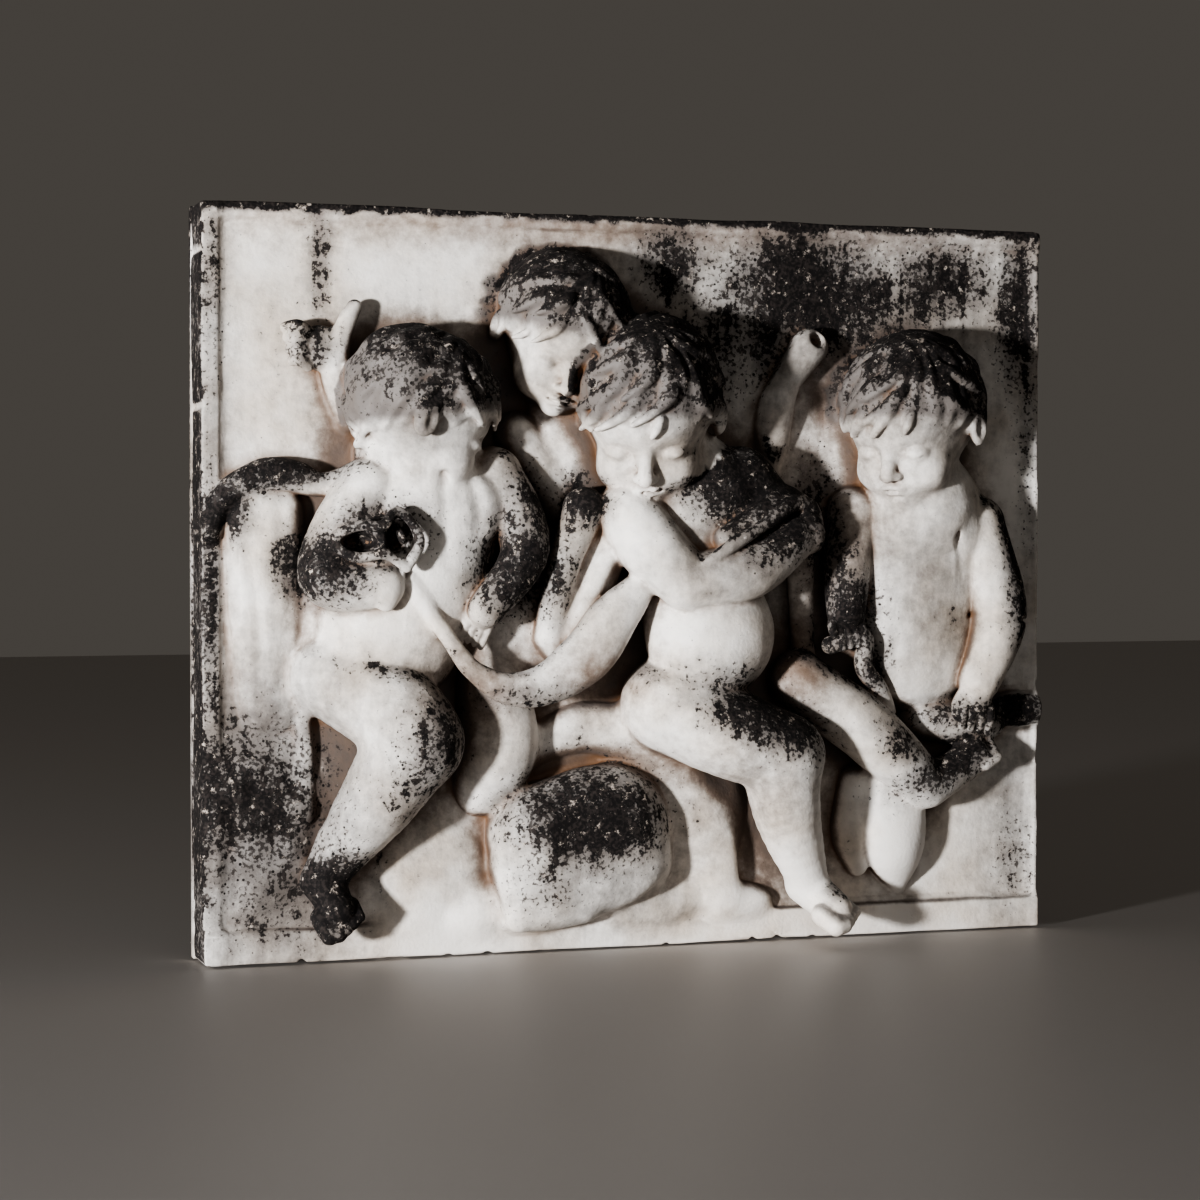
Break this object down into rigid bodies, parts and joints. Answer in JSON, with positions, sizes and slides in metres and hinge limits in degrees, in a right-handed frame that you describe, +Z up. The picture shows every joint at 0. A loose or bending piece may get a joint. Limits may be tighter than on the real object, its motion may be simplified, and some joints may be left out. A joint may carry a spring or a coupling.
{
  "type": "biscuit porcelain relief",
  "caption": "Rectangular wall relief of unglazed white porcelain: infants in high relief with slung cloth among rocks, on a flat-backed slab with a plain rim, weathered with dark lichen.",
  "frame": {"origin": "centre of the flat back face, where the relief meets the wall", "axes": "+Z up, +X to the right seen from the front, +Y into the wall; the relief faces -Y"},
  "size_m": [0.8, 0.1713, 0.66],
  "materials": {
    "biscuit_porcelain": "unglazed, matt, weathered, with black lichen, grey speckle and ochre stains"
  },
  "bodies": {
    "root": {"relief_panel": "biscuit_porcelain"}
  },
  "joints": []
}
